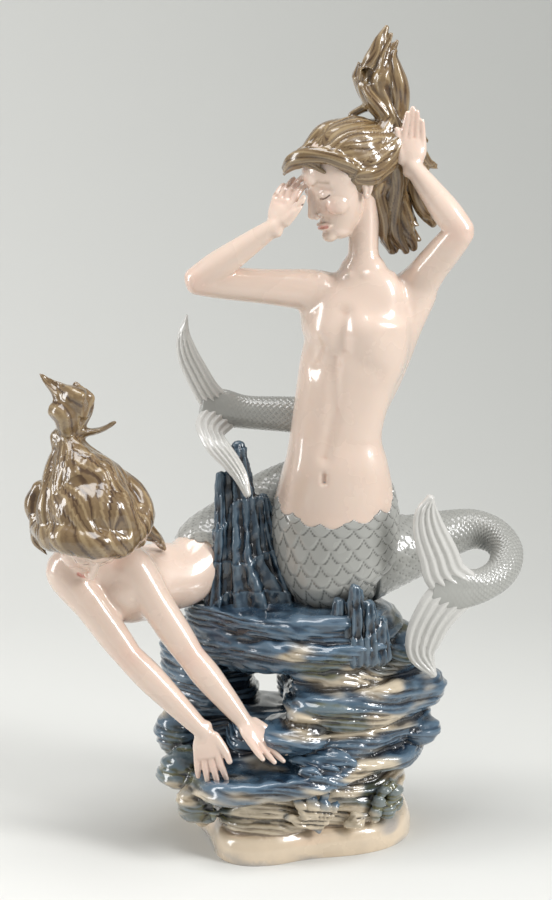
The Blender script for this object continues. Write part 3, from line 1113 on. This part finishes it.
# Where a tail flattens towards its fluke: a place from the hips, a half width and a half depth.
SEATED_TAIL_END = [((93, -22, -35), 10.5, 8.8), ((81, -29, -36), 12.5, 6.6), ((72, -33, -35), 14, 4.6),
                   ((66, -34.5, -35), 12.5, 3.6), ((60, -35.5, -34), 8, 2.4)]
LEANING_TAIL_END = [((20, 10, 82), 8.8, 10.5), ((4, 8, 85), 6, 12.5), ((-3, 6, 85), 4.4, 12),
                    ((-9, 3, 86), 2.4, 8)]


def make_scale_relief():
    """A tree that presses rows of overlapping scales into a tube that knows its rows and its turn. Rows
    before the border sink out of sight, and the border dips towards the front."""
    tree = bpy.data.node_groups.new("scale_relief", "GeometryNodeTree")
    tree.interface.new_socket("Geometry", in_out="INPUT", socket_type="NodeSocketGeometry")
    inputs = {}
    for name, value in (("Columns", float(SCALE_COLUMNS)), ("Relief", 0.8 * MM),
                        ("Bluntness", BLUNTNESS), ("Border", -1.0), ("Dip", 0.0), ("Front", 0.75),
                        ("Sink", 2 * MM)):
        made = tree.interface.new_socket(name, in_out="INPUT", socket_type="NodeSocketFloat")
        made.default_value = value
        inputs[name] = made.identifier
    tree.interface.new_socket("Material", in_out="INPUT", socket_type="NodeSocketMaterial")
    tree.interface.new_socket("Geometry", in_out="OUTPUT", socket_type="NodeSocketGeometry")
    given = tree.nodes.new("NodeGroupInput").outputs

    def attribute(name):
        return node(tree, "GeometryNodeInputNamedAttribute", {"Name": name}, data_type="FLOAT").outputs[0]

    def plus(first, second):
        return calc(tree, "ADD", first, second)

    def minus(first, second):
        return calc(tree, "SUBTRACT", first, second)

    def times(first, second):
        return calc(tree, "MULTIPLY", first, second)

    def arc(side):
        """Where the rounded edge of a scale lies, by how far aside of its middle."""
        twice = times(side, 2.0)
        return minus(1.0, times(times(twice, twice), given["Bluntness"]))

    rows = attribute("rows")
    turn = attribute("turn")
    row = calc(tree, "FLOOR", rows)
    down = minus(rows, row)
    stagger = times(calc(tree, "FLOORED_MODULO", row, 2.0), 0.5)
    columns = calc(tree, "MULTIPLY_ADD", turn, given["Columns"], stagger)
    side = minus(calc(tree, "FRACT", columns), 0.5)
    side_next = minus(calc(tree, "FRACT", plus(columns, 0.5)), 0.5)
    left_over = minus(arc(side), down)
    left_next = minus(plus(arc(side_next), 1.0), down)
    beyond = calc(tree, "LESS_THAN", left_over, 0.0)
    within = minus(1.0, beyond)
    left = plus(times(left_over, within), times(left_next, beyond))
    aside = plus(times(side, within), times(side_next, beyond))
    rise = minus(1.0, calc(tree, "DIVIDE", left, 1.7))
    round_edge = node(tree, "ShaderNodeMapRange", {"Value": left, "From Min": 0.0, "From Max": 0.22},
                      interpolation_type="SMOOTHSTEP").outputs["Result"]
    crown = minus(1.0, times(times(aside, aside), 1.6))
    height = times(times(times(rise, round_edge), crown), given["Relief"])
    height = times(height, attribute("fade"))
    tile_row = plus(row, beyond)
    tile_turn = minus(turn, calc(tree, "DIVIDE", aside, given["Columns"]))
    wave = calc(tree, "COSINE", times(minus(tile_turn, given["Front"]), math.tau))
    facing_front = calc(tree, "MULTIPLY_ADD", wave, 0.5, 0.5)
    border = calc(tree, "MULTIPLY_ADD", facing_front, given["Dip"], given["Border"])
    hidden = calc(tree, "LESS_THAN", tile_row, border)
    lift = minus(times(height, minus(1.0, hidden)), times(hidden, given["Sink"]))
    outward = node(tree, "GeometryNodeInputNormal").outputs[0]
    shift = node(tree, "ShaderNodeVectorMath", {0: outward, "Scale": lift}, operation="SCALE").outputs[0]
    moved = node(tree, "GeometryNodeSetPosition", {"Geometry": given["Geometry"], "Offset": shift}).outputs[0]
    whole = node(tree, "GeometryNodeRealizeInstances", {"Geometry": moved}).outputs[0]
    glaze = {"Geometry": whole, "Material": given["Material"]}
    dressed = node(tree, "GeometryNodeSetMaterial", glaze).outputs[0]
    tree.links.new(dressed, tree.nodes.new("NodeGroupOutput").inputs[0])
    return tree, inputs


SCALE_RELIEF, SCALE_INPUTS = make_scale_relief()
TAIL_GLAZE = glazed("tail_glaze", (0.385, 0.385, 0.36), (0.13, 0.13, 0.12), (0.50, 0.49, 0.46), 0.9, 0.3,
                    0.08)


def scaled_tube(name, stations, across, relief, corners, fade=0.0, **border):
    """A tube covered in scales, with this many corners to a row. The rows keep step with its girth, and
    fade out over this many millimetres at its end."""
    rows = spine(stations, across, 40)
    girth = math.tau * rows[:, 3:5].mean(axis=1)
    run = np.linalg.norm(np.diff(rows[:, :3], axis=0), axis=1)
    tall = 0.5 * (girth[1:] + girth[:-1]) / 2 / SCALE_COLUMNS
    count = np.concatenate([[0], np.cumsum(run / tall)])
    left_over = run.sum() - np.concatenate([[0], np.cumsum(run)])
    wanted = np.arange(0, count[-1], 1 / corners)
    shown = soft_step(0, fade, np.interp(wanted, count, left_over)) if fade else np.ones(len(wanted))
    rows = np.column_stack([np.interp(wanted, count, column) for column in rows.T])
    sides = SCALE_COLUMNS * (corners + 1)
    clay = Clay()
    clay.stack(rings_of(rows, sides, round_ends=False))
    made = mesh_of(name, clay.places[0], clay.faces)
    surface = Surface(made)
    row = np.repeat(wanted, sides)
    shown = np.repeat(shown, sides)
    turn = np.tile(np.arange(sides) / sides, len(wanted))
    surface.keep("rows", row)
    surface.keep("fade", shown)
    surface.keep("turn", turn)
    aside = (turn * SCALE_COLUMNS + 0.5 * (np.floor(row) % 2)) % 1 - 0.5
    edge = 1 - 4 * BLUNTNESS * aside ** 2 - row % 1
    lined = np.exp(-((edge + 0.08) / 0.12) ** 2) * shown
    press = made.modifiers.new("press", "NODES")
    press.node_group = SCALE_RELIEF
    for key, value in {"Columns": float(SCALE_COLUMNS), "Relief": relief * MM, **border}.items():
        press[SCALE_INPUTS[key]] = value
    bake_modifiers(made)
    surface.keep("hollow", 0.5 + 0.5 * lined)
    return made


def taper(hips, route, root, share):
    """Stations along a tail's route from the hips, its radius falling from the root to the fluke."""
    left_over = 1 - np.arange(len(route)) / (len(route) - 1)
    radii = TAIL_END_RADIUS + (root - TAIL_END_RADIUS) * left_over ** share
    return [(hips + place, radius, radius) for place, radius in zip(np.asarray(route, float), radii)]


def make_tails():
    """The seated hips and both tails. The last stations of a route give way to the flattened end."""
    right, _, _ = facing(SEATED_FRONT)
    hips = [*SEATED_HIP_STATIONS[::-1], (SEATED_HIPS + (4, 2, -32), 37, 34),
            (SEATED_HIPS + (10, 4, -46), 22, 24), (SEATED_HIPS + (11, 5, -52), 6, 8)]
    yield scaled_tube("seated_hips", hips, right, 1.0, HIP_SCALE_CORNERS, Border=-0.8, Dip=6.0)
    route = taper(SEATED_HIPS, SEATED_TAIL_ROUTE, SEATED_TAIL_RADIUS, 5.0)[:-3]
    route += [(SEATED_HIPS + place, wide, deep) for place, wide, deep in SEATED_TAIL_END]
    yield scaled_tube("seated_tail", route, UP, 0.8, TAIL_SCALE_CORNERS, 55)
    route = taper(LEANING_HIPS, LEANING_TAIL_ROUTE, LEANING_TAIL_RADIUS, 1.5)[:-2]
    route = [(LEANING_HIPS + (-14, -15, -12), 15, 15)] + route
    route += [(LEANING_HIPS + place, wide, deep) for place, wide, deep in LEANING_TAIL_END]
    yield scaled_tube("leaning_tail", route, (0, 1, 0), 0.7, TAIL_SCALE_CORNERS, 50, Border=1.5, Dip=2.0)


for tail in make_tails():
    finish_piece(tail, TAIL_GLAZE)


# The flukes
# Each fluke is two thin lobes, folded lengthwise into ribs and luted to the end of its tail.

FLUKE_THICKNESS = 6.4
FLUKE_GRID = 0.55
FLUKE_TRIANGLES = 30000

# A lobe is its two edges, from the tail to the tip. Their places are from the hips.
SEATED_FLUKE = [([(79, -32, -45), (57, -36, -33), (52, -38, -18), (47, -39, 1), (48, -39, 14), (55, -39, 25)],
                 [(85, -30, -25), (80, -33, -19), (74, -35, -6), (67, -37, 7), (63, -38, 17), (60, -38, 25)]),
                ([(79, -32, -25), (57, -36, -35), (48, -37, -49), (43, -36, -65), (45, -35, -76),
                  (59, -34, -92)],
                 [(89, -26, -45), (80, -31, -51), (72, -33, -59), (67, -33, -67), (63, -32, -79),
                  (63, -32, -90)])]
LEANING_FLUKE = [([(-2, 10, 76), (-12, 4, 91), (-22, 1, 115), (-24.5, 0, 127), (-23, 0, 137), (-18, 0, 147)],
                  [(14, 12, 92), (4, 6, 98), (-7, 3, 114), (-12.5, 1, 125), (-16, 0.5, 134), (-17, 0, 146)]),
                 ([(-2, 10, 90), (-12, -4, 80), (-7, -18, 68), (4, -26, 56), (12, -30, 47), (19, -33, 36)],
                  [(16, 12, 76), (6, -4, 69), (9, -18, 66), (16, -25, 59), (21, -29, 50), (23, -32, 39)])]
FLUKE_GLAZE = glazed("fluke_glaze", (0.60, 0.59, 0.56), (0.33, 0.32, 0.30), (0.70, 0.69, 0.66), 0.8, 0.3,
                     0.05)


def make_fluke(name, hips, lobes):
    clay = Clay()
    for edges in lobes:
        first, second = np.asarray(edges, float)
        across = second - first
        wide = np.linalg.norm(across, axis=1)
        clay.tube([(hips + middle, size / 2, FLUKE_THICKNESS / 2, way) for middle, size, way in
                   zip((first + second) / 2, wide, unit(across))], sides=120, steps=8, ribs=5, rib_depth=0.28)
    made = clay.fuse(name, FLUKE_GRID, 3)
    fluke = Surface(made)
    fluke.thin(FLUKE_TRIANGLES)
    fluke.hollows(8, 0.7)
    return made


finish_piece(make_fluke("seated_fluke", SEATED_HIPS, SEATED_FLUKE), FLUKE_GLAZE)
finish_piece(make_fluke("leaning_fluke", LEANING_HIPS, LEANING_FLUKE), FLUKE_GLAZE)


# The leaning mermaid's body
# Cast and luted as the seated one is: a torso stretched forwards, a bowed head, and both arms straight
# down to the ledge.

LEANING_SKIN_TRIANGLES = 105000
LEANING_WAIST = LEANING_HIPS + (-18, -19, -16)
LEANING_CHEST = LEANING_HIPS + (-54, -42, -19)
LEANING_NECK = LEANING_CHEST + (-18, -8, 21)
LEANING_HEAD = LEANING_NECK + (-4, -22, 24)
LEANING_RIGHT_SHOULDER = LEANING_CHEST + (-38, -14, 13)
LEANING_RIGHT_WRIST = np.array([-64.0, -46.0, LEDGE_TOP + 25])
LEANING_RIGHT_ELBOW = LEANING_RIGHT_SHOULDER * 0.52 + LEANING_RIGHT_WRIST * 0.48 + (-2, -4, -4)
LEANING_LEFT_SHOULDER = LEANING_CHEST + (3, -12, 14)
LEANING_LEFT_WRIST = np.array([-39.0, -43.0, LEDGE_TOP + 31])
LEANING_LEFT_ELBOW = LEANING_LEFT_SHOULDER * 0.47 + LEANING_LEFT_WRIST * 0.53 + (0, -2, -4)
LEANING_FACE = (0.22, -0.45, -0.87)
LEANING_HEAD_MEASURE = Head(LEANING_HEAD, LEANING_FACE)


def make_leaning_body():
    clay = Clay()
    middle = (LEANING_WAIST + LEANING_CHEST) / 2
    clay.tube([(LEANING_HIPS, 19, 19, (0.6, -0.5, -0.6)), (LEANING_WAIST, 21, 18, (0.5, -0.4, -0.75)),
               (middle, 23, 20, (0.5, -0.5, -0.7)), (LEANING_CHEST, 25, 23, (0.7, -0.6, -0.4)),
               (LEANING_CHEST * 0.4 + LEANING_NECK * 0.6, 26, 17, (1.0, -0.2, 0.0)),
               (LEANING_NECK + (-2, -4, 4), 12, 11, (1.0, 0.0, 0.0))], sides=96, steps=14)
    clay.ball(LEANING_CHEST + (0, -4, -5), (19, 18, 19), sides=64)
    head = LEANING_HEAD_MEASURE
    nape = head.at(0, -0.12, -0.30)
    clay.tube([(LEANING_NECK + (0, 2, -6), 1.4 * NECK_RADIUS, NECK_RADIUS), (nape, NECK_RADIUS, NECK_RADIUS),
               (nape + head.axes[2] * 12, NECK_RADIUS, NECK_RADIUS)])
    head.model(clay)
    add_arm(clay, LEANING_RIGHT_SHOULDER, LEANING_RIGHT_ELBOW, LEANING_RIGHT_WRIST, (14, 6, 2))
    add_arm(clay, LEANING_LEFT_SHOULDER, LEANING_LEFT_ELBOW, LEANING_LEFT_WRIST, (-8, 6, -4))
    add_hand(clay, LEANING_RIGHT_WRIST, (0.15, -0.25, -0.95), np.array([1.0, -0.2, 0.0]), -0.25)
    add_hand(clay, LEANING_LEFT_WRIST, (0.62, -0.42, -0.66), np.array([0.5, 0.7, 0.2]), 0.12)
    made = clay.fuse("leaning_body", SKIN_GRID, 8)
    skin = Surface(made)
    for joint, width, passes in (([LEANING_RIGHT_SHOULDER, LEANING_RIGHT_SHOULDER + (14, 6, 2)], 20, 160),
                                 ([LEANING_LEFT_SHOULDER, LEANING_LEFT_SHOULDER + (-8, 6, -4)], 20, 160),
                                 ([LEANING_CHEST + (0, -10, -14)], 22, 120),
                                 ([LEANING_RIGHT_WRIST], 9, 50), ([LEANING_LEFT_WRIST], 9, 50),
                                 ([LEANING_RIGHT_ELBOW], 12, 50), ([LEANING_LEFT_ELBOW], 12, 50),
                                 ([LEANING_NECK], 16, 120)):
        skin.ease(joint, width, passes)
    skin.settle()
    head.carve(skin)
    skin.thin(LEANING_SKIN_TRIANGLES)
    tint_skin(skin, head, [
        (LEANING_RIGHT_ELBOW, 14, 0.8), (LEANING_LEFT_ELBOW, 14, 0.8),
        (LEANING_RIGHT_WRIST + (3, -6, -22), 18, 0.5), (LEANING_LEFT_WRIST + (14, -9, -15), 18, 0.4)])
    skin.hollows(14, 0.6)
    return made


finish_piece(make_leaning_body(), SKIN_GLAZE)


# The leaning mermaid's hair
# A full mass combed up over the crown to a knot, with a flame of locks above it and one lock at the back.

LEANING_HAIR_TRIANGLES = 90000
LEANING_LOCKS = [[(-3, 3, 40, 30), (-9, 9, 58, 24), (-18, 15, 74, 15), (-23, 18, 86, 12)],
                 [(12, -40, -12, 9.2), (-9, -40, 12, 12.3), (-22, -18, 46, 10.8), (-25, 9, 80, 7.7)],
                 [(46, -15, -12, 9.2), (43, -18, 12, 12.3), (22, -6, 49, 12.3), (-15, 12, 83, 7.7)],
                 [(-28, -22, -12, 10.8), (-40, -12, 12, 12.3), (-37, 0, 46, 9.2), (-26, 15, 83, 6.2)],
                 [(-40, 9, -15, 9.2), (-45, 12, 12, 10.8), (-40, 18, 40, 7.7), (-28, 22, 74, 6.2)],
                 [(48, 9, -3, 9.2), (46, 12, 22, 10.8), (28, 18, 46, 9.2), (-12, 22, 77, 7.7)],
                 [(-23, 18, 80, 11), (-14, 18, 98, 15.5), (-12, 18, 114, 17.5), (-23, 18, 128, 11),
                  (-35, 18, 137, 5), (-43, 18, 143, 2)],
                 [(-12, 18, 86, 7.7), (8, 18, 89, 5.4), (25, 18, 98, 2.2)],
                 [(-20, 18, 83, 7.7), (-29, 15, 89, 5.4)],
                 [(43, 25, 0, 7.7), (54, 37, -12, 7.7), (63, 46, -25, 6.2), (69, 51, -35, 2.8)]]
CROWN_GUIDES = [[(10, -44, -14, 6), (0, -44, 12, 8), (-14, -24, 44, 8), (-23, 2, 78, 6)],
                [(-10, -42, -14, 6), (-20, -36, 12, 8), (-28, -16, 44, 8), (-25, 6, 80, 6)],
                [(-28, -24, -12, 6), (-40, -14, 12, 8), (-37, -2, 46, 8), (-27, 12, 82, 6)],
                [(-40, 6, -15, 6), (-47, 10, 12, 8), (-41, 16, 42, 8), (-29, 20, 78, 6)],
                [(-30, 28, -10, 6), (-36, 34, 14, 8), (-32, 34, 44, 8), (-25, 26, 78, 6)],
                [(0, 40, -4, 6), (-2, 44, 18, 8), (-6, 40, 48, 8), (-18, 28, 78, 6)],
                [(34, 30, -2, 6), (36, 34, 20, 8), (22, 32, 48, 8), (-10, 26, 78, 6)],
                [(48, 9, -3, 6), (49, 12, 22, 8), (32, 18, 48, 8), (-10, 20, 78, 6)],
                [(47, -16, -12, 6), (46, -20, 12, 8), (26, -10, 48, 8), (-14, 10, 81, 6)],
                [(32, -34, -14, 6), (28, -38, 12, 8), (10, -20, 48, 8), (-18, 4, 80, 6)],
                [(10, -44, -14, 6), (0, -44, 12, 8), (-14, -24, 44, 8), (-23, 2, 78, 6)]]
FLAME_GUIDES = [[(-23, 14, 78, 7), (-24, 12, 96, 8), (-24, 12, 112, 8), (-31, 13, 126, 6),
                 (-40, 15, 136, 3.5), (-45, 17, 144, 1.8)],
                [(-22, 14, 80, 8), (-16, 10, 98, 9), (-14, 9, 114, 9), (-19, 12, 127, 7),
                 (-24, 15, 133, 4), (-28, 16, 138, 2)],
                [(-20, 18, 80, 8), (-8, 16, 96, 9), (-2, 16, 112, 9), (-6, 16, 124, 6), (-10, 16, 131, 4),
                 (-12, 16, 136, 2)],
                [(-20, 24, 80, 8), (-14, 26, 98, 9), (-12, 27, 113, 9), (-20, 24, 126, 6),
                 (-30, 21, 134, 4), (-36, 19, 140, 2)]]
BROW_ROLLS = [[(-46, 2, 2, 11), (-38, -22, 0, 13), (-18, -40, -4, 14), (8, -45, -6, 15), (30, -35, -4, 15),
               (45, -14, 2, 14), (49, 10, 6, 12)],
              [(44, -18, 4, 12), (50, 0, 14, 12), (42, 14, 30, 11), (26, 18, 46, 10)],
              [(-46, 0, 8, 11), (-50, 8, 20, 12), (-44, 12, 34, 10)]]
LEANING_CURLS = [[(-14, 16, 84, 6), (0, 15, 88, 5), (12, 15, 90, 4), (24, 16, 98, 2.2)],
                 [(40, 22, 2, 7), (52, 34, -10, 7), (61, 44, -22, 6), (69, 51, -35, 2.8)],
                 [(44, 14, 8, 7), (54, 22, -4, 6), (62, 30, -14, 4.5), (66, 34, -24, 2.2)],
                 [(-46, -2, 4, 9), (-50, 2, -8, 8), (-46, -4, -18, 6), (-38, -14, -24, 3)]]


def make_leaning_hair():
    clay = Clay()
    clay.ball(LEANING_HEAD + (2, -8, 12), (29.5, 24, 23), sides=60)
    clay.ball(LEANING_HEAD + (0, 2, 22), (26, 24, 22), sides=60)
    core = (0, 0, 20)
    comb(clay, LEANING_HEAD, BROW_ROLLS + LEANING_LOCKS[:1], core, flat=0.9)
    locks = comb(clay, LEANING_HEAD, LEANING_LOCKS[1:], core, flat=0.72, sway=0.6)
    locks += comb(None, LEANING_HEAD, CROWN_GUIDES, core, sway=0.8)
    locks += comb(clay, LEANING_HEAD, FLAME_GUIDES, (-18, 18, 108), sway=0.4)
    locks += comb(clay, LEANING_HEAD, LEANING_CURLS, core, flat=0.7)
    made = clay.fuse("leaning_hair", HAIR_GRID, 14)
    mass = [LEANING_HEAD + (0, -8, 6), LEANING_HEAD + (-5, 4, 38)]
    dress_hair(made, locks, LEANING_HAIR_TRIANGLES, mass, 44)
    return made


finish_piece(make_leaning_hair(), HAIR_GLAZE)


# The floor, the light and the camera
# A pale paper sweep under two large softboxes and an overhead one, seen a little from above.

FLOOR_TONE = (0.74, 0.74, 0.715)
BACKDROP_TONE = (0.48, 0.485, 0.465)
CAMERA_PLACE = (-0.019, -1.4094, 0.5531)
CAMERA_TILT = 12.0
CAMERA_LENS = 91.64
ROOM_TONE = (0.75, 0.76, 0.76, 1.0)
ROOM_LIGHT = 0.45


def make_sweep():
    """A floor that curves up into a backdrop."""
    profile = [(-2500, 0), (500, 0)]
    for step in range(1, 13):
        turn = math.radians(90 * step / 12)
        profile.append((500 + 900 * math.sin(turn), 900 - 900 * math.cos(turn)))
    profile.append((1400, 3000))
    places = [(side, y, z) for y, z in profile for side in (-3000, 3000)]
    faces = [(2 * i, 2 * i + 1, 2 * i + 3, 2 * i + 2) for i in range(len(profile) - 1)]
    made = mesh_of("sweep", places, faces)
    material = bpy.data.materials.new("pale_paper")
    material.use_nodes = True
    tree = material.node_tree
    shader = tree.nodes["Principled BSDF"]
    place = node(tree, "ShaderNodeTexCoord").outputs["Object"]
    parts = node(tree, "ShaderNodeSeparateXYZ", {"Vector": place}).outputs
    back = calc(tree, "ADD", calc(tree, "MULTIPLY", parts[1], 0.5), calc(tree, "MULTIPLY", parts[0], 0.9))
    tone = blend_colour(tree, ramp(tree, back, -0.3, 1.1), FLOOR_TONE, BACKDROP_TONE)
    tree.links.new(tone, shader.inputs["Base Color"])
    shader.inputs["Roughness"].default_value = 0.9
    shader.inputs["Specular IOR Level"].default_value = 0.1
    made.data.materials.append(material)


def add_softbox(name, place, aim, size, power):
    light = bpy.data.lights.new(name, "AREA")
    light.shape = "RECTANGLE"
    light.size, light.size_y = size
    light.energy = power
    made = bpy.data.objects.new(name, light)
    made.location = place
    made.rotation_euler = (Vector(aim) - Vector(place)).to_track_quat("-Z", "Y").to_euler()
    bpy.context.scene.collection.objects.link(made)


make_sweep()
add_softbox("right_softbox", (1.25, -0.65, 1.0), (0, 0, 0.27), (0.4, 0.8), 19)
add_softbox("left_softbox", (-1.35, -0.2, 0.65), (0, 0, 0.25), (0.4, 0.9), 10)
add_softbox("top_softbox", (-0.1, -0.2, 1.7), (0, 0, 0.2), (1.0, 0.8), 14)
world = bpy.data.worlds.new("studio")
world.use_nodes = True
world.node_tree.nodes["Background"].inputs["Color"].default_value = ROOM_TONE
world.node_tree.nodes["Background"].inputs["Strength"].default_value = ROOM_LIGHT
bpy.context.scene.world = world
camera = bpy.data.objects.new("camera", bpy.data.cameras.new("camera"))
camera.data.lens = CAMERA_LENS
camera.data.sensor_width = 36.0
camera.location = CAMERA_PLACE
camera.rotation_euler = (math.radians(90 - CAMERA_TILT), 0, 0)
bpy.context.scene.collection.objects.link(camera)
bpy.context.scene.camera = camera
bpy.context.scene.view_settings.view_transform = "Standard"
